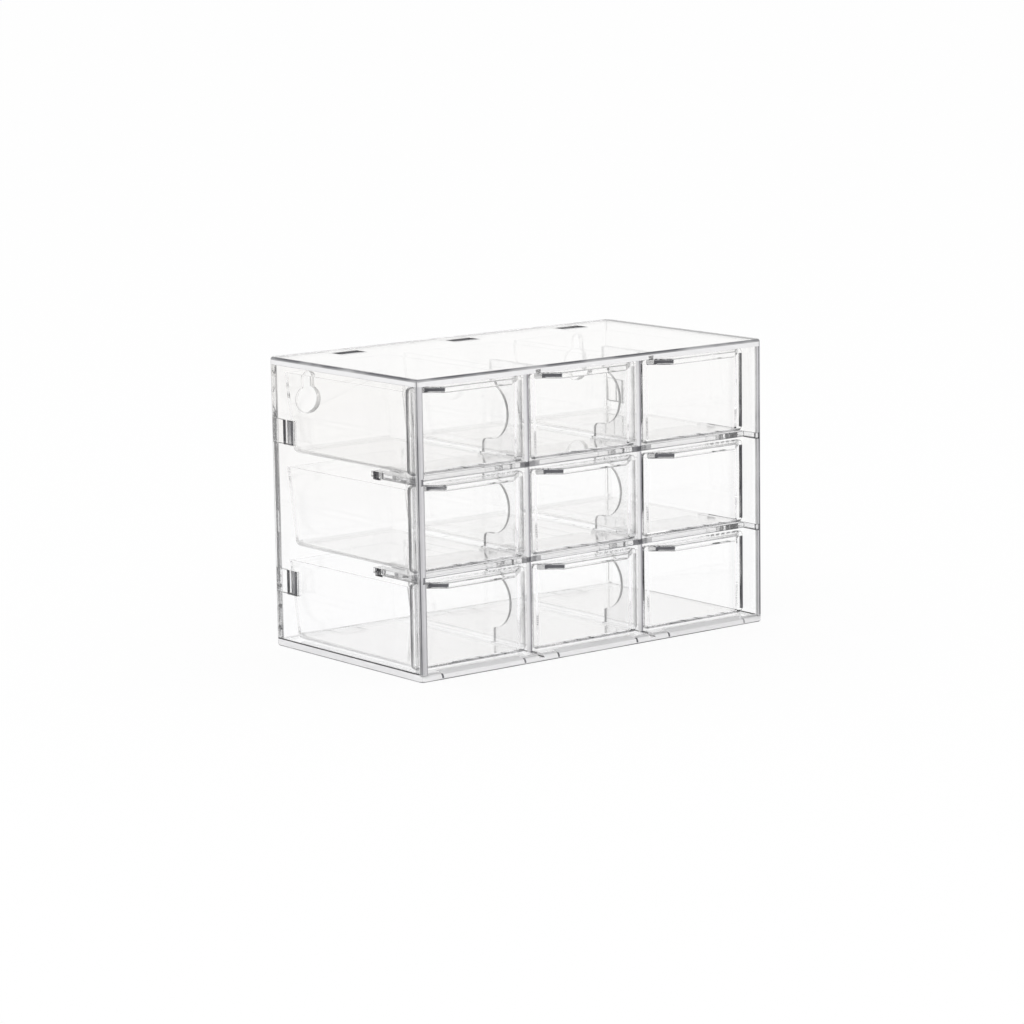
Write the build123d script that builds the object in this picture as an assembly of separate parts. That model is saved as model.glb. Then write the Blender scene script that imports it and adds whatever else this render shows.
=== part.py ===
from build123d import *
import os

# Clear desktop box with nine small drawers, three across and three high.
# X is the width, Y the depth with the drawers opening towards -Y, Z is up.
# The origin is at the centre of the footprint, on the underside.

# Case, outside
case_width = 180.0
case_depth = 100.0
case_height = 120.0
top_thick = 3.0
bottom_thick = 3.0
side_thick = 3.0
back_thick = 3.0
corner_radius = 2.0
top_edge_chamfer = 0.6
base_edge_chamfer = 0.5
nose_radius = 2.4

# Lattice of dividers and shelves behind the open front
divider_thick = 2.4
shelf_thick = 2.4
front_recess = 8.0
arm_depth = 27.5
foot_depth = 22.0
shelf_depth = 25.0
bite_radius = 11.25
bite_depth = 22.5
arm_corner = 2.5
foot_corner = 1.2

# Grooves, tongues and latches of the lattice
joint_clear = 0.1
panel_groove = 1.5
side_groove = 1.5
divider_groove = 0.6
latch_start = 16.6
latch_length = 5.0
latch_height = 3.3
latch_clear = 0.15
side_nose = 2.0
divider_nose = 1.0
finger_width = 5.0
slot_width = 4.0
slot_start = 12.0
side_tab = 7.5
nose_flat = 1.2

# Finger scoops in the front edge of the bottom panel
scoop_width = 41.5
scoop_depth = 5.0
scoop_drop = 0.9

# Snap arms that hold the back panel
back_clear = 0.1
channel_depth = 1.6
channel_reach = 16.6
arm_tip_clear = 0.2
window_start = 9.0
window_length = 7.2
window_clear = 0.2
hook_height = 1.1
hook_lead = 2.1
hook_flat = 1.8
hook_release = 2.4
wide_arm = 12.8
tall_arm = 10.0
low_arm_height = 27.75
high_arm_drop = 30.0

# Keyholes for hanging
keyhole_offset = 70.5
keyhole_drop = 19.0
keyhole_radius = 5.7
keyhole_slot = 5.2
keyhole_rise = 11.6

# Drawer
drawer_side_clear = 0.6
drawer_base_clear = 0.3
drawer_top_clear = 1.0
drawer_rear_clear = 2.4
plate_thick = 1.6
plate_corner = 2.5
plate_top_corner = 2.0
plate_edge_chamfer = 0.4
tub_inset = 2.0
side_draft = 0.8
rear_lean = 4.3
rim_drop = 2.4
wall = 1.2
floor_thick = 1.2
tub_side_radius = 1.8
tub_rear_radius = 3.0
lip_thick = 2.5
lip_reach = 7.5
lip_taper = 8.5
lip_side_clear = 2.4
lip_corner = 0.8
lip_edge_chamfer = 0.4

rows = ("bottom", "middle", "top")
columns = ("left", "middle", "right")
shelf_levels = ("lower", "upper")

front = -case_depth / 2
rear = case_depth / 2
inner_x = case_width / 2 - side_thick
inner_top = case_height - top_thick
high_arm_height = case_height - high_arm_drop
keyhole_height = case_height - keyhole_drop
lattice = front + front_recess
cell_width = (2 * inner_x - (len(columns) - 1) * divider_thick) / len(columns)
cell_height = (inner_top - bottom_thick - len(shelf_levels) * shelf_thick) / len(rows)
groove_width = divider_thick + 2 * joint_clear
groove_height = shelf_thick + 2 * joint_clear
overcut = 1.0


def column_x(column):
    return -inner_x + cell_width / 2 + column * (cell_width + divider_thick)


def row_floor(row):
    return bottom_thick + row * (cell_height + shelf_thick)


def divider_x(index):
    return column_x(index) + (cell_width + divider_thick) / 2


def shelf_base(level):
    return row_floor(level) + cell_height


def block(x_span, y_span, z_span):
    size = [span[1] - span[0] for span in (x_span, y_span, z_span)]
    middle = [(span[1] + span[0]) / 2 for span in (x_span, y_span, z_span)]
    return Pos(*middle) * Box(*size)


def face_yz(y_span, z_span):
    middle = Pos((y_span[0] + y_span[1]) / 2, (z_span[0] + z_span[1]) / 2)
    return middle * Rectangle(y_span[1] - y_span[0], z_span[1] - z_span[0])


# A snap has its own frame: X along its width, Y towards the back, Z out through the panel.
def snap_frame(point, outward):
    across = Vector(0, 1, 0).cross(Vector(*outward))
    return Plane(origin=point, x_dir=across, z_dir=outward)


def snap_arm(width):
    top = channel_depth - joint_clear
    tip = -channel_reach + arm_tip_clear
    arm = block((-width / 2, width / 2), (tip, 0), (-back_clear, top))
    low = -window_start - window_length + window_clear
    crest = low + hook_lead
    high = crest + hook_flat + hook_release
    hook = Polyline(
        (low, top - back_clear), (low, top), (crest, top + hook_height),
        (crest + hook_flat, top + hook_height), (high, top), (high, top - back_clear), close=True
    )
    hook = Plane.YZ.offset(-width / 2 + window_clear) * make_face(hook)
    return arm + extrude(hook, width - 2 * window_clear)


def snap_channel(width):
    half = width / 2 + joint_clear
    channel = block((-half, half), (-channel_reach, overcut), (-overcut, channel_depth))
    span = (-window_start - window_length, -window_start)
    return channel + block((-half, half), span, (-overcut, max(top_thick, side_thick) + overcut))


top_snaps = [((column_x(i), rear, inner_top), (0, 0, 1)) for i in range(len(columns))]
bottom_snaps = [((column_x(i), rear, bottom_thick), (0, 0, -1)) for i in range(len(columns))]
left_snaps = [((-inner_x, rear, z), (-1, 0, 0)) for z in (low_arm_height, high_arm_height)]
right_snaps = [((inner_x, rear, z), (1, 0, 0)) for z in (low_arm_height, high_arm_height)]


def cut_channels(panel, snaps, width):
    for point, outward in snaps:
        panel -= snap_frame(point, outward) * snap_channel(width)
    return panel


def cut_divider_grooves(panel, z_span):
    for index in range(len(columns) - 1):
        x = divider_x(index)
        x_span = (x - groove_width / 2, x + groove_width / 2)
        panel -= block(x_span, (front - overcut, lattice + foot_depth + joint_clear), z_span)
    return panel


def build_top():
    panel = extrude(RectangleRounded(case_width, case_depth, corner_radius), top_thick)
    panel = chamfer(panel.faces().sort_by(Axis.Z)[-1].edges(), top_edge_chamfer)
    panel = Pos(0, 0, inner_top) * panel
    panel = cut_divider_grooves(panel, (inner_top - overcut, inner_top + panel_groove))
    return cut_channels(panel, top_snaps, wide_arm)


# The front edge is a round nose between shallow finger scoops, one under each column.
def build_bottom():
    section = face_yz((front, rear), (0, bottom_thick))
    nose = section.vertices().filter_by(lambda v: v.X < 0 and v.Y > bottom_thick / 2)
    section = fillet(nose, nose_radius)
    panel = extrude(Plane.YZ.offset(-case_width / 2) * section, case_width)
    panel = panel & extrude(RectangleRounded(case_width, case_depth, corner_radius), bottom_thick)
    panel = chamfer(panel.faces().sort_by(Axis.Z)[0].edges(), base_edge_chamfer)
    slope = Polyline(
        (front - overcut, bottom_thick - scoop_drop), (front, bottom_thick - scoop_drop),
        (front + scoop_depth, bottom_thick), (front + scoop_depth, bottom_thick + overcut),
        (front - overcut, bottom_thick + overcut), close=True
    )
    for column in range(len(columns)):
        start = Plane.YZ.offset(column_x(column) - scoop_width / 2)
        panel -= extrude(start * make_face(slope), scoop_width)
    panel = cut_divider_grooves(panel, (bottom_thick - panel_groove, bottom_thick + overcut))
    return cut_channels(panel, bottom_snaps, wide_arm)


def build_side(side):
    inner = side * inner_x
    outer = side * case_width / 2
    panel = block(sorted((inner, outer)), (front, rear), (bottom_thick, inner_top))
    corners = panel.edges().filter_by(Axis.Z).filter_by(lambda e: abs(e.center().X - outer) < overcut)
    panel = fillet(corners, corner_radius)
    groove_x = sorted((inner - side * overcut, inner + side * side_groove))
    window_x = sorted((inner - side * overcut, outer + side * overcut))
    start = lattice + latch_start
    for level in range(len(shelf_levels)):
        middle = shelf_base(level) + shelf_thick / 2
        groove_z = (middle - groove_height / 2, middle + groove_height / 2)
        window_z = (middle - latch_height / 2, middle + latch_height / 2)
        panel -= block(groove_x, (front - overcut, start), groove_z)
        panel -= block(window_x, (start, start + latch_length), window_z)
    return cut_channels(panel, left_snaps if side < 0 else right_snaps, tall_arm)


# A round bite opens each cell to the rear and leaves an arm at every shelf.
def build_divider(index):
    tenon = panel_groove - joint_clear
    base = bottom_thick - tenon
    head = inner_top + tenon
    arm_end = lattice + arm_depth
    foot_end = lattice + foot_depth
    outline = face_yz((lattice, arm_end), (base, head))
    past = arm_end + overcut
    for row in range(len(rows)):
        middle = row_floor(row) + cell_height / 2
        outline -= Pos(lattice + bite_depth, middle) * Circle(bite_radius)
        outline -= face_yz((lattice + bite_depth, past), (middle - bite_radius, middle + bite_radius))
    outline -= face_yz((foot_end, past), (base - overcut, row_floor(0) + cell_height / 2))
    outline -= face_yz((foot_end, past), (row_floor(len(rows) - 1) + cell_height / 2, head + overcut))
    arm_ends = outline.vertices().filter_by(lambda v: abs(v.X - arm_end) < joint_clear)
    outline = fillet(arm_ends, arm_corner)
    foot_ends = outline.vertices().filter_by(
        lambda v: abs(v.X - foot_end) < joint_clear and base + overcut < v.Y < head - overcut
    )
    outline = fillet(foot_ends, foot_corner)
    x = divider_x(index)
    plate = extrude(Plane.YZ.offset(x - divider_thick / 2) * outline, divider_thick)
    start = lattice + latch_start
    for level in range(len(shelf_levels)):
        middle = shelf_base(level) + shelf_thick / 2
        groove_z = (middle - groove_height / 2, middle + groove_height / 2)
        window_z = (middle - latch_height / 2, middle + latch_height / 2)
        for side in (-1, 1):
            face = x + side * divider_thick / 2
            groove_x = sorted((face - side * divider_groove, face + side * overcut))
            plate -= block(groove_x, (lattice - overcut, start), groove_z)
        window_x = (x - divider_thick, x + divider_thick)
        plate -= block(window_x, (start, start + latch_length), window_z)
    return plate


# Each end has a tongue for the groove and a springy finger whose nose clicks into the window.
def build_shelf(column, level):
    centre = column_x(column)
    half = cell_width / 2 - joint_clear
    z_span = (shelf_base(level), shelf_base(level) + shelf_thick)
    end = lattice + shelf_depth
    shelf = block((centre - half, centre + half), (lattice, end), z_span)
    for side in (-1, 1):
        at_wall = column == (0 if side < 0 else len(columns) - 1)
        groove = side_groove if at_wall else divider_groove
        nose = side_nose if at_wall else divider_nose
        tab = side_tab if at_wall else 0.0
        edge = centre + side * half
        tip = edge + side * groove
        start = lattice + latch_start
        shelf += block(sorted((edge, tip)), (lattice - tab, start - latch_clear), z_span)
        catch = start + latch_clear
        lead = start + latch_length - latch_clear
        reach = edge + side * (joint_clear + nose)
        points = Polyline(
            (edge - side * joint_clear, catch), (reach, catch), (reach, catch + nose_flat),
            (edge, lead), (edge - side * joint_clear, lead), close=True
        )
        hook = make_face(points)
        shelf += extrude(Pos(0, 0, z_span[0]) * hook, amount=shelf_thick, dir=(0, 0, 1))
        slot_x = edge - side * (finger_width + slot_width / 2)
        round_end = lattice + slot_start + slot_width / 2
        slot = Pos(slot_x, round_end, z_span[0] + shelf_thick / 2) * Cylinder(
            slot_width / 2, shelf_thick + 2 * overcut
        )
        slot += block(
            (slot_x - slot_width / 2, slot_x + slot_width / 2), (round_end, end + overcut),
            (z_span[0] - overcut, z_span[1] + overcut)
        )
        shelf -= slot
    return shelf


def build_back():
    x_half = inner_x - back_clear
    z_span = (bottom_thick + back_clear, inner_top - back_clear)
    panel = block((-x_half, x_half), (rear - back_thick, rear), z_span)
    for snaps, width in (
        (top_snaps, wide_arm), (bottom_snaps, wide_arm), (left_snaps, tall_arm), (right_snaps, tall_arm)
    ):
        for point, outward in snaps:
            panel += snap_frame(point, outward) * snap_arm(width)
    for side in (-1, 1):
        hole = Circle(keyhole_radius)
        neck = keyhole_rise - keyhole_slot / 2
        hole += Pos(0, neck / 2) * Rectangle(keyhole_slot, neck)
        hole += Pos(0, neck) * Circle(keyhole_slot / 2)
        centre = (side * keyhole_offset, rear + overcut, keyhole_height)
        facing = Plane(origin=centre, x_dir=(1, 0, 0), z_dir=(0, -1, 0))
        panel -= extrude(facing * hole, back_thick + 2 * overcut)
    return panel


# The drawer is drawn with its cell's floor at zero and its column's middle at zero.
plate_half = cell_width / 2 - drawer_side_clear
lip_top = cell_height - drawer_top_clear
rim = lip_top - rim_drop
tub_rear = rear - back_thick - drawer_rear_clear


# Sides and a rear that lean outwards from the base to the rim, with rounds along the base.
def tub_body(base, top, inset, front_inset):
    shares = [(rim - height) / (rim - drawer_base_clear) for height in (base, top)]
    halves = [plate_half - tub_inset - side_draft * share - inset for share in shares]
    backs = [tub_rear - rear_lean * share - inset for share in shares]
    start = lattice + front_inset
    across = make_face(
        Polyline((-halves[0], base), (halves[0], base), (halves[1], top), (-halves[1], top), close=True)
    )
    low = across.vertices().filter_by(lambda v: v.Y < base + overcut)
    across = fillet(low, tub_side_radius - inset)
    along = make_face(Polyline((start, base), (backs[0], base), (backs[1], top), (start, top), close=True))
    low = along.vertices().filter_by(lambda v: v.Y < base + overcut and v.X > start + overcut)
    along = fillet(low, tub_rear_radius - inset)
    body = extrude(Plane.XZ.offset(-rear) * across, case_depth)
    return body & extrude(Plane.YZ.offset(-plate_half) * along, 2 * plate_half)


def build_tub():
    outer = tub_body(drawer_base_clear, rim, 0, plate_edge_chamfer)
    inner = tub_body(drawer_base_clear + floor_thick, rim + overcut, wall, plate_thick)
    return outer, inner


def build_plate():
    height = lip_top - drawer_base_clear
    outline = Pos(0, drawer_base_clear + height / 2) * Rectangle(2 * plate_half, height)
    low = outline.vertices().filter_by(lambda v: v.Y < height / 2)
    outline = fillet(low, plate_corner)
    high = outline.vertices().filter_by(lambda v: v.Y > lip_top - plate_top_corner)
    outline = fillet(high, plate_top_corner)
    facing = Plane(origin=(0, lattice + plate_thick, 0), x_dir=(1, 0, 0), z_dir=(0, -1, 0))
    plate = extrude(facing * outline, plate_thick)
    return chamfer(plate.faces().sort_by(Axis.Y)[0].edges(), plate_edge_chamfer)


# The pull is a ledge along the top of the plate with slanted ends.
def build_lip():
    half = plate_half - lip_side_clear
    root = lattice + plate_edge_chamfer
    tip = lattice - lip_reach
    points = [(-half, root), (-half, lattice), (lip_taper - half, tip)]
    points += [(half - lip_taper, tip), (half, lattice), (half, root)]
    outline = make_face(Polyline(*points, close=True))
    outline = fillet(outline.vertices().filter_by(lambda v: v.Y < tip + plate_edge_chamfer), lip_corner)
    lip = extrude(Pos(0, 0, lip_top - lip_thick) * outline, amount=lip_thick, dir=(0, 0, 1))
    tip_edges = lip.edges().filter_by(lambda e: e.center().Y < lattice and abs(e.tangent_at(0.5).Z) < 0.5)
    return chamfer(tip_edges, lip_edge_chamfer)


def build_drawer():
    outer, inner = build_tub()
    return outer + build_plate() + build_lip() - inner


os.makedirs("parts", exist_ok=True)

pieces = {
    "top_panel": build_top(),
    "bottom_panel": build_bottom(),
    "left_side_panel": build_side(-1),
    "right_side_panel": build_side(1),
    "back_panel": build_back(),
    "left_divider": build_divider(0),
    "right_divider": build_divider(1),
}
for level, level_name in enumerate(shelf_levels):
    for column, column_name in enumerate(columns):
        pieces[f"shelf_{level_name}_{column_name}"] = build_shelf(column, level)

drawer = build_drawer()
for row, row_name in enumerate(rows):
    for column, column_name in enumerate(columns):
        place = Pos(column_x(column), 0, row_floor(row))
        pieces[f"drawer_{row_name}_{column_name}"] = place * drawer

for name, piece in pieces.items():
    solids = piece.solids()
    print(name, len(solids), "solid,", round(piece.volume / 1000, 2), "cm3")
    export_step(piece if len(solids) > 1 else solids[0], f"parts/{name}.step")
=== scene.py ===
import math

import bpy
from mathutils import Matrix, Vector

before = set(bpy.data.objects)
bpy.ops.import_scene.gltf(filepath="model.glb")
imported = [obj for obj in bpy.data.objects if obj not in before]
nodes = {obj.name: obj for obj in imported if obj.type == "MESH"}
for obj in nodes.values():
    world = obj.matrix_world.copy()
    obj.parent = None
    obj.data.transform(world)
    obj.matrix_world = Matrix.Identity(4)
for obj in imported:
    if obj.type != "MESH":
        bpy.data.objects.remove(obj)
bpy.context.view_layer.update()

scene = bpy.context.scene
MM = 0.001

# Camera: where the box was looked at from, turned about a point at mid height
VIEW_AZIMUTH = -38.243
VIEW_ELEVATION = 9.823
VIEW_ROLL = -0.906
VIEW_DISTANCE = 1.51072
VIEW_TARGET = Vector((0, 0, 0.060))
VIEW_SHIFT_RIGHT = -0.003298
VIEW_SHIFT_UP = -0.008641
SENSOR = 36.0
LENS = 128.03
CLIP_START = 0.01

# Light and surroundings
ROOM_WHITE = 1.0
ROOM_FRONT = 0.94
ROOM_TOP = 0.90
FRONT_TO_BACK = (-0.4, 0.6)
WALL_TO_CEILING = (0.35, 0.85)
FLOOR_HALF = 14.0
FLOOR_DROP = 0.0002
FLOOR_MATTE = (0.97, 0.97, 0.97, 1)
FLOOR_GLOW = 0.92
WHITE = (1, 1, 1, 1)
LAMP_PLACE = (-0.9, -0.7, 1.6)
LAMP_AIM = (0, 0, 0.06)
LAMP_SIZE = 0.9
LAMP_POWER = 4.0

# Clear plastic, the painted shade along its edges, and the painted light and shade on its rims
PLASTIC_IOR = 1.50
CLEAR_ROUGHNESS = 0.004
EDGE_ROUGHNESS = 0.35
RIM_ROUGHNESS = 0.45
RIPPLE_SCALE = 38.0
RIPPLE_DETAIL = 1.0
RIPPLE_HEIGHT = 0.0004
HAZE_SCALE = 90.0
HAZE_DETAIL = 4.0
HAZE_CLOUDS = (0.45, 0.8)
STREAK_SCALE = 55.0
STREAK_DETAIL = 2.0
STREAKS = (0.30, 0.62)
STREAK_WEIGHT = 0.45
STREAK_BASE = 0.65
ABSORB_COLOR = (0.74, 0.72, 0.82, 1.0)
ABSORB_DENSITY = 0.6
# Painted shade: the dark grey laid along edges for the dark look of refracting clear plastic
PAINTED_EDGE_SHADE = (0.10, 0.10, 0.112, 1.0)
CASE_TINT = (0.997, 0.997, 1.0, 1.0)
# Painted shade that greys the sheets toward the top
HIGH_PAINTED_SHADE = (0.971, 0.966, 0.959, 1.0)
LATTICE_TINT = (0.93, 0.93, 0.935, 1.0)
DRAWER_TINT = (0.999, 0.999, 0.998, 1.0)
# Painted shade for the drawers' floors
DRAWER_FLOOR_PAINTED_SHADE = (0.90, 0.895, 0.89, 1.0)
# Painted light and painted shade for the edge faces of the sheets and the lattice
RIM_PAINTED_LIGHT = (0.99, 0.985, 0.995, 1.0)
RIM_PAINTED_SHADE = (0.20, 0.19, 0.23, 1.0)

# Fine rounds that the bevel puts on moulded edges, in metres
LATTICE_ROUND = 0.25 * MM
DRAWER_ROUND = 0.25 * MM
BACK_ROUND = 0.20 * MM
ROUND_SEGMENTS = 2
SHARP_ANGLE = 32
WELD_DISTANCE = 1e-6

# Sockets of the Mix node that carry colours
MIX_FIRST = 6
MIX_SECOND = 7
MIX_RESULT = 2

# The box in millimetres, seen from the front. A pair is a range, and None leaves its end open.
PER_METRE = 1000.0
SOFT_BORDER = 0.03
COLUMN_PITCH = 58.8
ROW_PITCH = 38.8
SHEET = 3.0
BETWEEN_PANELS = (SHEET, 117.0)
SHEET_FRONTS = (None, -45.0)
LEFT_FACE = (None, -89.9)
FLAT_MIDDLE = (None, 75.0)
SIDE_CHANNEL_DEPTHS = (-26.0, 49.0)
SIDE_CHANNEL_HEIGHTS = (5.0, 115.0)
FLAT_CHANNELS = (
    {"walls": (117.1, 119.9), "hooks": (118.65, 119.8)},
    {"walls": (0.1, 2.9), "hooks": (0.2, 1.35)},
)
BY_RIGHT_WALL = (84.0, 86.0)
BY_REAR = (40.0, 45.0)
REAR_HALF = (0.0, 30.0)
INTO_BACK = (44.0, 46.0)
SHEET_HEIGHTS = (15.0, 118.0)
FRONT_ROUND = (-48.1, -47.9)
REAR_ROUND = (47.9, 48.1)
SIDE_ROUND = (87.9, 88.1)
RIGHT_ROUND = (88.0, 89.9)
RIGHT_CORNER = (87.8, 88.2)
OUTER_HALF = (88.3, 88.7)
UPRIGHT_FOOT = (2.9, 3.0)
UPRIGHT_HEAD = (117.0, 117.1)
SCOOP_ENDS = (20.3, 21.2)
BY_LEFT_WALL = (-81.0, -80.0)
RIGHT_PLATE_END = (84.0, 85.0)
RIGHT_WALL_START = (86.0, 87.0)
LATTICE_FACE = (-41.9, -41.8)
LATTICE_FRONTS = (None, -41.8)
BEHIND_LATTICE_FACE = (-41.0, -38.0)
LATTICE_SPAN = (None, 60.0)
PLATE_DEPTHS = (None, -40.3)
LIP_DEPTHS = (None, -42.5)
LIP_START = -22.8
INTO_LEFT_WALL = (None, -87.05)
INTO_RIGHT_WALL = (87.05, None)
DIVIDER_HALF = 1.25
DIVIDER_RIGHT_SIDE = (-0.2, 1.1)

# How far a surface leans from a main direction before it counts as another face
LEANING = (0.3, 0.5)
SQUARE_ON = (0.15, 0.85)
FACING_FRONT = (0.5, 0.9)
FACING_SIDE = (0.6, 0.8)
FACING_DEPTH = (0.2, 0.8)
LEVEL = (0.8, 0.95)
SLANT_STARTS = (0.45, 0.60)
SLANT_ENDS = (0.80, 0.90)

# A painted shade outline is full where a surface is less square than the first value, and gone past the
# second
FINE_TURN = (0.74, 0.86)
BROAD_TURN = (0.93, 0.997)
MOULDED_TURN = (0.90, 0.985)

# How much fainter a painted shade line is when it is seen from inside the plastic
CASE_INSIDE_FADE = 0.9
LATTICE_INSIDE_FADE = 0.6
DRAWER_INSIDE_FADE = 0.5


class Field:
    """A node socket that adds a Math node for each operator."""

    def __init__(self, tree, socket):
        self.tree = tree
        self.socket = socket

    def math(self, operation, *values):
        return self.tree.add("ShaderNodeMath", {"operation": operation}, list(values))

    def __add__(self, other):
        return self.math("ADD", self, other)

    def __sub__(self, other):
        return self.math("SUBTRACT", self, other)

    def __rsub__(self, other):
        return self.math("SUBTRACT", other, self)

    def __mul__(self, other):
        return self.math("MULTIPLY", self, other)

    def abs(self):
        return self.math("ABSOLUTE", self)

    def modulo(self, step):
        return self.math("FLOORED_MODULO", self, step)

    def largest(self, other):
        return self.math("MAXIMUM", self, other)

    def clamp(self):
        return self.math("MINIMUM", self.math("MAXIMUM", self, 0.0), 1.0)

    def smooth(self, low, high):
        """0 below the first value, 1 above the second, and a smooth step between."""
        return self.tree.add(
            "ShaderNodeMapRange", {"interpolation_type": "SMOOTHSTEP"},
            {"Value": self, "From Min": low, "From Max": high, "To Min": 0.0, "To Max": 1.0}, "Result"
        )

    def fade(self, low, high, weak, strong):
        """The same step, from one strength to another."""
        return self.smooth(low, high) * (strong - weak) + weak

    def within(self, low, high):
        """1 inside a range and 0 outside, with soft borders."""
        if low is None:
            return 1 - self.smooth(high - SOFT_BORDER, high + SOFT_BORDER)
        above = self.smooth(low - SOFT_BORDER, low + SOFT_BORDER)
        if high is None:
            return above
        return above * self.within(None, high)


class Tree:
    """Nodes of one material or of the world."""

    def __init__(self, owner):
        owner.use_nodes = True
        self.nodes = owner.node_tree.nodes
        self.links = owner.node_tree.links
        self.nodes.clear()

    def add(self, kind, settings=None, values=None, output=0):
        node = self.nodes.new(kind)
        for name, value in (settings or {}).items():
            setattr(node, name, value)
        pairs = values.items() if isinstance(values, dict) else enumerate(values or [])
        for name, value in pairs:
            if isinstance(value, Field):
                self.links.new(value.socket, node.inputs[name])
            else:
                node.inputs[name].default_value = value
        return Field(self, node.outputs[output])

    def beside(self, field, output):
        """Another output of the node that a field comes from."""
        return Field(self, field.socket.node.outputs[output])

    def finish(self, kind, **sockets):
        node = self.nodes.new(kind)
        for name, field in sockets.items():
            self.links.new(field.socket, node.inputs[name])


def xyz(tree, vector):
    x = tree.add("ShaderNodeSeparateXYZ", None, [vector], "X")
    return x, tree.beside(x, "Y"), tree.beside(x, "Z")


def noise(tree, place, scale, detail):
    return tree.add("ShaderNodeTexNoise", None, {"Vector": place, "Scale": scale, "Detail": detail}, "Fac")


def blended(tree, factor, first, second):
    colours = {"Factor": factor, MIX_FIRST: first, MIX_SECOND: second}
    return tree.add("ShaderNodeMix", {"data_type": "RGBA"}, colours, MIX_RESULT)


def read_spot(tree, place, facing):
    """Where a point of the box lies, in millimetres, and which way its surface faces."""
    in_mm = tree.add("ShaderNodeVectorMath", {"operation": "SCALE"}, {0: place, "Scale": PER_METRE})
    x, y, z = xyz(tree, in_mm)
    normal_x, normal_y, normal_z = xyz(tree, facing)
    half = COLUMN_PITCH / 2
    divider = x.modulo(COLUMN_PITCH) - half
    column = (x + half).modulo(COLUMN_PITCH) - half
    return {
        "x": x, "y": y, "z": z,
        "wide": x.abs(),
        "divider": divider, "off_divider": divider.abs(),
        "column": column, "off_column": column.abs(),
        "storey": (z - SHEET).modulo(ROW_PITCH),
        "across": normal_x.abs(), "deep": normal_y.abs(), "up": normal_z.abs(),
        "leftward": normal_x * -1, "frontward": normal_y * -1,
        "inside": tree.add("ShaderNodeNewGeometry", output="Backfacing"),
    }


def clear_plastic(name, tint, find_shade_lines, ripple, haze, absorb=0, shading=None, find_painted_rim=None):
    """Moulded clear plastic with slow flow ripples, a little haze, and painted shade where its edges turn."""
    material = bpy.data.materials.new(name)
    tree = Tree(material)
    place = tree.add("ShaderNodeTexCoord", output="Object")
    spot = read_spot(tree, place, tree.beside(place, "Normal"))
    waves = noise(tree, place, RIPPLE_SCALE, RIPPLE_DETAIL)
    bump = tree.add(
        "ShaderNodeBump", None, {"Height": waves, "Strength": ripple, "Distance": RIPPLE_HEIGHT}, "Normal"
    )
    clouds = noise(tree, place, HAZE_SCALE, HAZE_DETAIL)
    roughness = clouds.smooth(*HAZE_CLOUDS) * haze + CLEAR_ROUGHNESS
    # Painted shade blended into the base colour where find_shade marks it
    if shading:
        find_shade, painted_shade_colour = shading
        tint = blended(tree, find_shade(spot), tint, painted_shade_colour)
    surface = tree.add(
        "ShaderNodeBsdfPrincipled", None,
        {
            "Base Color": tint, "Roughness": roughness, "IOR": PLASTIC_IOR,
            "Transmission Weight": 1.0, "Normal": bump,
        }
    )
    # Painted light and shade: an opaque white to grey finish laid over edge faces
    if find_painted_rim:
        amount, darkness = find_painted_rim(spot)
        painted_rim = tree.add(
            "ShaderNodeBsdfPrincipled", None,
            {
                "Base Color": blended(tree, darkness, RIM_PAINTED_LIGHT, RIM_PAINTED_SHADE),
                "Roughness": RIM_ROUGHNESS, "IOR": PLASTIC_IOR,
            }
        )
        surface = tree.add("ShaderNodeMixShader", None, [amount.clamp(), surface, painted_rim])
    # Painted shade: an opaque dark grey mixed in along edges, grooves and channels
    edge = tree.add(
        "ShaderNodeBsdfPrincipled", None,
        {"Base Color": PAINTED_EDGE_SHADE, "Roughness": EDGE_ROUGHNESS, "IOR": PLASTIC_IOR}
    )
    streaks = noise(tree, place, STREAK_SCALE, STREAK_DETAIL).smooth(*STREAKS)
    mask = find_shade_lines(spot) * (streaks * STREAK_WEIGHT + STREAK_BASE)
    outputs = {"Surface": tree.add("ShaderNodeMixShader", None, [mask.clamp(), surface, edge])}
    if absorb:
        outputs["Volume"] = tree.add(
            "ShaderNodeVolumeAbsorption", None, {"Color": ABSORB_COLOR, "Density": absorb}
        )
    tree.finish("ShaderNodeOutputMaterial", **outputs)
    return material


def turned(spot, low, high):
    """1 where the surface turns away from all three main directions."""
    return 1 - strongest([spot["across"], spot["deep"], spot["up"]]).smooth(low, high)


def strongest(marks):
    first, *others = marks
    for other in others:
        first = first.largest(other)
    return first


def mark(spot, strength, facing=None, **ranges):
    """A mark of one strength where every named measure of the spot is within its range."""
    factors = [spot[name].within(low, high) for name, (low, high) in ranges.items()]
    if facing is not None:
        factors.append(facing)
    mask = factors[0]
    for factor in factors[1:]:
        mask = mask * factor
    return mask * strength


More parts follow.
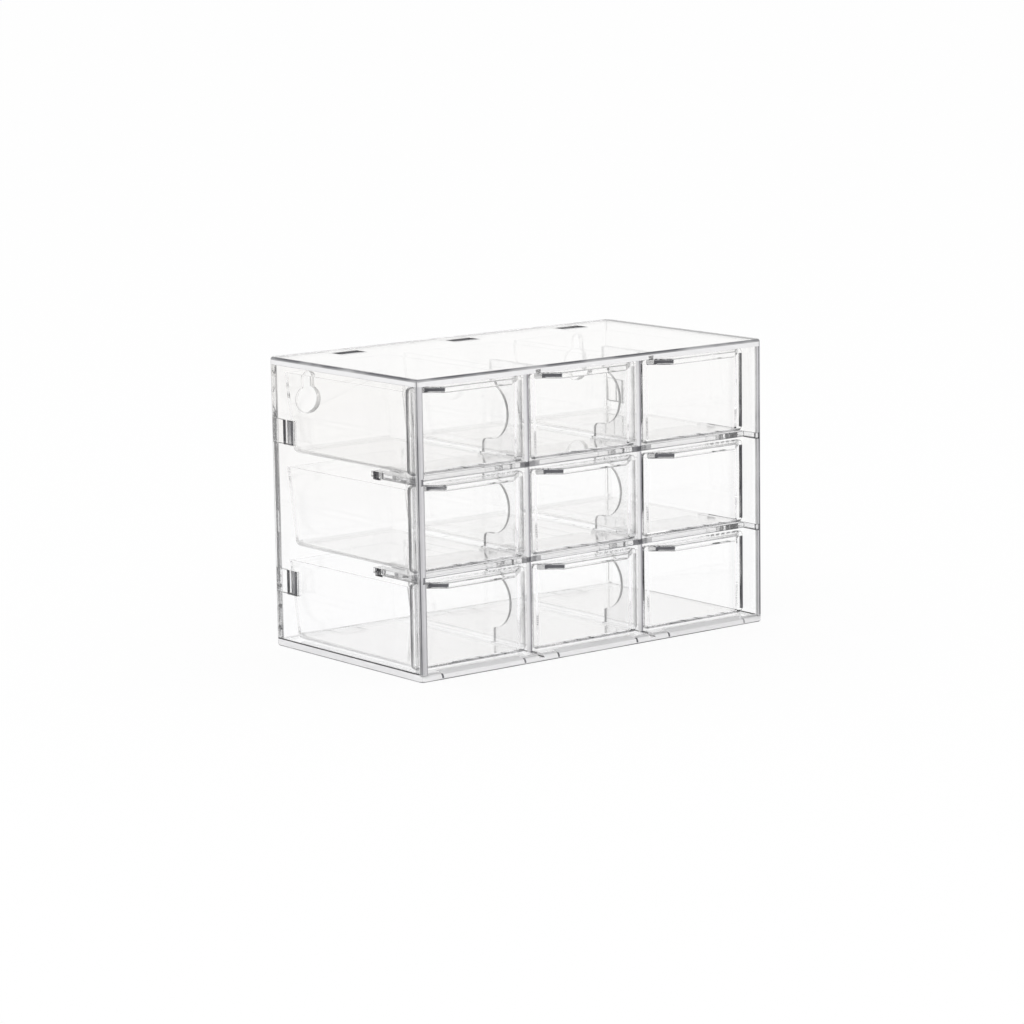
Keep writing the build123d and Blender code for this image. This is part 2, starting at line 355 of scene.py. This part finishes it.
def case_shade_lines(spot):
    """Painted shade lines of the sheets: their arrises, grooves, snap channels and scoops."""
    x = spot["x"]
    y = spot["y"]
    standing = 1 - spot["up"].smooth(*LEANING)
    lengthwise = 1 - spot["across"].smooth(*LEANING)
    rear_and_right = x.smooth(*BY_RIGHT_WALL) * 0.55 + y.smooth(*BY_REAR) * 0.45 + 0.2
    fine = turned(spot, *FINE_TURN) * 0.95
    broad = turned(spot, *BROAD_TURN) * rear_and_right
    nose = mark(spot, 0.90, y=SHEET_FRONTS, z=(0.55, 3.1))
    marks = {
        "outline": fine.largest(broad) * (1 - nose),
        "brow": mark(spot, 0.7, standing, z=(118.9, 119.4)),
        "left_front_strip": mark(spot, 0.4, x=LEFT_FACE, y=(-48.3, -46.0), z=BETWEEN_PANELS),
        "left_rear_strip": mark(spot, 0.5, x=LEFT_FACE, y=(48.4, None), z=BETWEEN_PANELS),
        "right_corner": mark(spot, 0.85, x.smooth(*RIGHT_CORNER), y=(None, -47.6), z=BETWEEN_PANELS),
        "jamb": mark(spot, 0.5, wide=(86.9, 87.45), y=(None, -49.0), z=BETWEEN_PANELS),
        "side_channel": mark(
            spot, 0.75, lengthwise, wide=(87.1, 89.9), y=SIDE_CHANNEL_DEPTHS, z=SIDE_CHANNEL_HEIGHTS
        ),
        "side_hook": mark(spot, 0.8, wide=(88.65, 89.8), y=SIDE_CHANNEL_DEPTHS, z=SIDE_CHANNEL_HEIGHTS),
        "scoop_end": mark(spot, 1.0, off_column=SCOOP_ENDS, y=(None, -48.5), z=(0.7, 2.5)),
    }
    toward_rear = y.fade(*REAR_HALF, 0.2, 0.65)
    for panel, heights in zip(("top", "bottom"), FLAT_CHANNELS):
        marks[panel + "_channel"] = mark(
            spot, toward_rear, standing, wide=FLAT_MIDDLE, y=(-45.0, 47.0), z=heights["walls"]
        )
        marks[panel + "_hook"] = mark(spot, 0.8, wide=FLAT_MIDDLE, y=(30.0, 43.0), z=heights["hooks"])
    return strongest(marks.values()) * (1 - spot["inside"] * CASE_INSIDE_FADE)


def back_shade_lines(spot):
    """The back's painted shade lines are fainter behind the sheets, and its two ends show as painted shade
    strips.
    """
    end = mark(spot, 0.6, wide=(86.5, None), y=(46.9, 47.7))
    return (case_shade_lines(spot) * spot["y"].fade(*INTO_BACK, 1.0, 0.35)).largest(end)


def case_painted_rim(spot):
    """How much painted light whitens the sheets' edge faces, and how much painted shade greys them on the
    uprights.
    """
    x = spot["x"]
    y = spot["y"]
    z = spot["z"]
    facing = spot["deep"].smooth(*SQUARE_ON)
    ahead = (1 - y.smooth(*FRONT_ROUND)) * facing
    behind = y.smooth(*REAR_ROUND) * facing
    upright = z.smooth(*UPRIGHT_FOOT) * (1 - z.smooth(*UPRIGHT_HEAD))
    flat_end = (1 - upright) * spot["wide"].smooth(*SIDE_ROUND) * spot["across"].smooth(*SQUARE_ON)
    scoop = mark(spot, 0.92, 1 - facing, y=SHEET_FRONTS, z=(2.0, 2.98))
    amount = strongest([ahead * 0.85 + behind * 0.8, flat_end * 0.85, scoop])
    front_rim_shade = ahead * x.fade(*RIGHT_ROUND, 0.35, 1.0)
    rear_rim_shade = behind * spot["wide"].smooth(*OUTER_HALF) * 0.75
    return amount, upright * (front_rim_shade + rear_rim_shade)


def lattice_painted_rim(spot):
    """How much painted light whitens the lattice's front faces, and how much painted shade greys the dividers
    to the right.
    """
    ahead = (1 - spot["y"].smooth(*LATTICE_FACE)) * spot["frontward"].smooth(*FACING_FRONT)
    post = spot["off_divider"].within(None, DIVIDER_HALF)
    amount = ahead * (post * 0.65 + 0.2)
    return amount, ahead * post * spot["divider"].fade(*DIVIDER_RIGHT_SIDE, 0.05, 0.90)


def lattice_shade_lines(spot):
    """Painted shade lines of dividers and shelves: arrises, crossings, bites, latch catches and tabs."""
    divider = spot["divider"]
    in_wall = spot["wide"].within(*INTO_RIGHT_WALL) * 0.5 + spot["x"].smooth(*RIGHT_WALL_START) * 0.35
    outline = turned(spot, *MOULDED_TURN) * spot["y"].fade(*BEHIND_LATTICE_FACE, 0.5, 0.9) * (1 - in_wall)
    crossing = divider.within(-3.6, 1.2) * 0.8 + divider.within(1.2, 6.4) * 0.5
    crossing = crossing + spot["off_divider"].within(None, 1.2) * 0.5
    marks = {
        "outline": outline * (1 - spot["inside"] * LATTICE_INSIDE_FADE),
        "shelf_edge": mark(spot, 0.55, y=LATTICE_FRONTS, storey=(36.3, 36.85)),
        "crossing": mark(spot, crossing, wide=LATTICE_SPAN, y=LATTICE_FRONTS, storey=(36.6, 38.6)),
        "bite": mark(
            spot, 0.75, spot["deep"].smooth(*FACING_DEPTH), off_divider=(None, DIVIDER_HALF), y=(-31.0, -14.0)
        ),
        "right_catch": mark(spot, 0.95, x=INTO_RIGHT_WALL, y=(-32.0, 0.0)),
        "left_catch": mark(spot, 0.75, x=INTO_LEFT_WALL, y=(-25.3, 0.0)),
        "left_tab": mark(spot, 0.6, x=INTO_LEFT_WALL, y=(None, -43.5)),
    }
    return strongest(marks.values())


def drawer_shade_lines(spot):
    """Painted shade lines of a drawer: arrises, the lip's left slant, the plate's ends and its foot."""
    leftward = spot["leftward"]
    ahead = spot["y"].within(None, -41.5)
    left = 1 - spot["x"].smooth(*BY_LEFT_WALL)
    outline = turned(spot, *MOULDED_TURN) * (ahead * 0.35 + left * 0.2 + 0.08)
    slanted = leftward.smooth(*SLANT_STARTS) * (1 - leftward.smooth(*SLANT_ENDS))
    right_strength = spot["x"].fade(*RIGHT_PLATE_END, 0.25, 1.0)
    lip = {"y": LIP_DEPTHS, "facing": slanted}
    marks = {
        "outline": outline * (1 - spot["inside"] * DRAWER_INSIDE_FADE),
        "lip_slant": mark(spot, 1.2, storey=(33.6, 34.85), column=(LIP_START, None), **lip),
        "lip_corner": mark(spot, 1.2, storey=(33.0, 34.3), column=(LIP_START, -21.9), **lip),
        "left_end": mark(
            spot, 1.1, spot["across"].smooth(*FACING_SIDE), x=(None, -85.9), y=PLATE_DEPTHS
        ),
        "right_end": mark(spot, right_strength, column=(26.25, None), y=PLATE_DEPTHS, storey=(2.0, 33.0)),
        "foot": mark(
            spot, 0.6, spot["frontward"].smooth(*FACING_FRONT), y=PLATE_DEPTHS, storey=(0.6, 1.3)
        ),
    }
    return strongest(marks.values())


def floor_shade(spot):
    """Painted shade on the floors of the drawers, which look greyer than their walls."""
    return mark(spot, 1.0, spot["up"].smooth(*LEVEL), y=(-41.0, None), storey=(None, 2.0))


def high_shade(spot):
    """Painted shade: the sheets grow a little warmer and greyer with height."""
    return spot["z"].smooth(*SHEET_HEIGHTS)


def shaped_edges(piece, width):
    """Moulded edges are never sharp: a fine round on every edge of the solid."""
    weld = piece.modifiers.new("weld", "WELD")
    weld.merge_threshold = WELD_DISTANCE
    bevel = piece.modifiers.new("edge", "BEVEL")
    bevel.width = width
    bevel.segments = ROUND_SEGMENTS
    bevel.limit_method = "ANGLE"
    bevel.angle_limit = math.radians(SHARP_ANGLE)
    bevel.harden_normals = True


def build_world():
    """A white room, a little less white in front of the box and overhead."""
    world = bpy.data.worlds.new("room")
    scene.world = world
    tree = Tree(world)
    x, y, z = xyz(tree, tree.add("ShaderNodeTexCoord", output="Generated"))
    turn = math.radians(VIEW_AZIMUTH)
    behind = x * -math.sin(turn) + y * math.cos(turn)
    wall = behind.fade(*FRONT_TO_BACK, ROOM_FRONT, ROOM_WHITE)
    high = z.smooth(*WALL_TO_CEILING)
    seen = wall * (1 - high) + high * ROOM_TOP
    path = tree.add("ShaderNodeLightPath", output="Is Camera Ray")
    level = path + (1 - path) * seen
    background = tree.add("ShaderNodeBackground", None, {"Color": WHITE, "Strength": level})
    tree.finish("ShaderNodeOutputWorld", Surface=background)


def build_floor():
    """A matte floor that takes the box's shadow and looks white to the camera."""
    mesh = bpy.data.meshes.new("floor")
    signs = [(-1, -1), (1, -1), (1, 1), (-1, 1)]
    corners = [(x * FLOOR_HALF, y * FLOOR_HALF, -FLOOR_DROP) for x, y in signs]
    mesh.from_pydata(corners, [], [(0, 1, 2, 3)])
    floor = bpy.data.objects.new("floor", mesh)
    scene.collection.objects.link(floor)
    material = bpy.data.materials.new("floor_white")
    tree = Tree(material)
    path = tree.add("ShaderNodeLightPath", output="Is Camera Ray")
    mirror = tree.beside(path, "Is Glossy Ray")
    through = tree.beside(path, "Is Transmission Ray")
    seen = (path * FLOOR_GLOW + mirror + through).clamp()
    matte = tree.add("ShaderNodeBsdfDiffuse", None, {"Color": FLOOR_MATTE})
    glow = tree.add("ShaderNodeEmission", None, {"Color": WHITE, "Strength": 1.0})
    mixed = tree.add("ShaderNodeMixShader", None, [seen, matte, glow])
    tree.finish("ShaderNodeOutputMaterial", Surface=mixed)
    mesh.materials.append(material)


def build_lamp():
    light = bpy.data.lights.new("high_lamp", "AREA")
    light.shape = "DISK"
    light.size = LAMP_SIZE
    light.energy = LAMP_POWER
    lamp = bpy.data.objects.new("high_lamp", light)
    scene.collection.objects.link(lamp)
    direction = Vector(LAMP_AIM) - Vector(LAMP_PLACE)
    turn = direction.to_track_quat("-Z", "Y").to_matrix().to_4x4()
    lamp.matrix_world = Matrix.Translation(LAMP_PLACE) @ turn


def build_camera():
    azimuth = math.radians(VIEW_AZIMUTH)
    elevation = math.radians(VIEW_ELEVATION)
    roll = math.radians(VIEW_ROLL)
    flat = math.cos(elevation)
    back = Vector((math.sin(azimuth) * flat, -math.cos(azimuth) * flat, math.sin(elevation)))
    level = Vector((math.cos(azimuth), math.sin(azimuth), 0))
    rise = back.cross(level)
    across = level * math.cos(roll) + rise * math.sin(roll)
    upward = rise * math.cos(roll) - level * math.sin(roll)
    data = bpy.data.cameras.new("camera")
    data.sensor_width = SENSOR
    data.lens = LENS
    data.clip_start = CLIP_START
    camera = bpy.data.objects.new("camera", data)
    scene.collection.objects.link(camera)
    turn = Matrix((across, upward, back)).transposed().to_4x4()
    place = VIEW_TARGET + back * VIEW_DISTANCE + across * VIEW_SHIFT_RIGHT + upward * VIEW_SHIFT_UP
    camera.matrix_world = Matrix.Translation(place) @ turn
    scene.camera = camera


# Painted shade: sheets greyer higher up, and drawer floors greyer
high = (high_shade, HIGH_PAINTED_SHADE)
low = (floor_shade, DRAWER_FLOOR_PAINTED_SHADE)
case_plastic = clear_plastic(
    "case_clear", CASE_TINT, case_shade_lines, ripple=0.03, haze=0.02, shading=high, find_painted_rim=case_painted_rim
)
back_plastic = clear_plastic("back_clear", CASE_TINT, back_shade_lines, ripple=0.03, haze=0.02, shading=high)
lattice_plastic = clear_plastic(
    "lattice_clear", LATTICE_TINT, lattice_shade_lines,
    ripple=0.04, haze=0.03, absorb=ABSORB_DENSITY, find_painted_rim=lattice_painted_rim
)
drawer_plastic = clear_plastic(
    "drawer_clear", DRAWER_TINT, drawer_shade_lines,
    ripple=0.05, haze=0.02, absorb=ABSORB_DENSITY, shading=low
)

for name, node in nodes.items():
    if name.startswith("drawer"):
        finish, edge = drawer_plastic, DRAWER_ROUND
    elif name.endswith("divider") or name.startswith("shelf"):
        finish, edge = lattice_plastic, LATTICE_ROUND
    elif name == "back_panel":
        finish, edge = back_plastic, BACK_ROUND
    else:
        finish, edge = case_plastic, 0
    node.data.materials.clear()
    node.data.materials.append(finish)
    if edge:
        shaped_edges(node, edge)

build_world()
build_floor()
build_lamp()
build_camera()

scene.view_settings.view_transform = "Standard"
scene.cycles.max_bounces = 128
scene.cycles.transmission_bounces = 96
scene.cycles.glossy_bounces = 96
scene.cycles.diffuse_bounces = 12
scene.cycles.transparent_max_bounces = 16
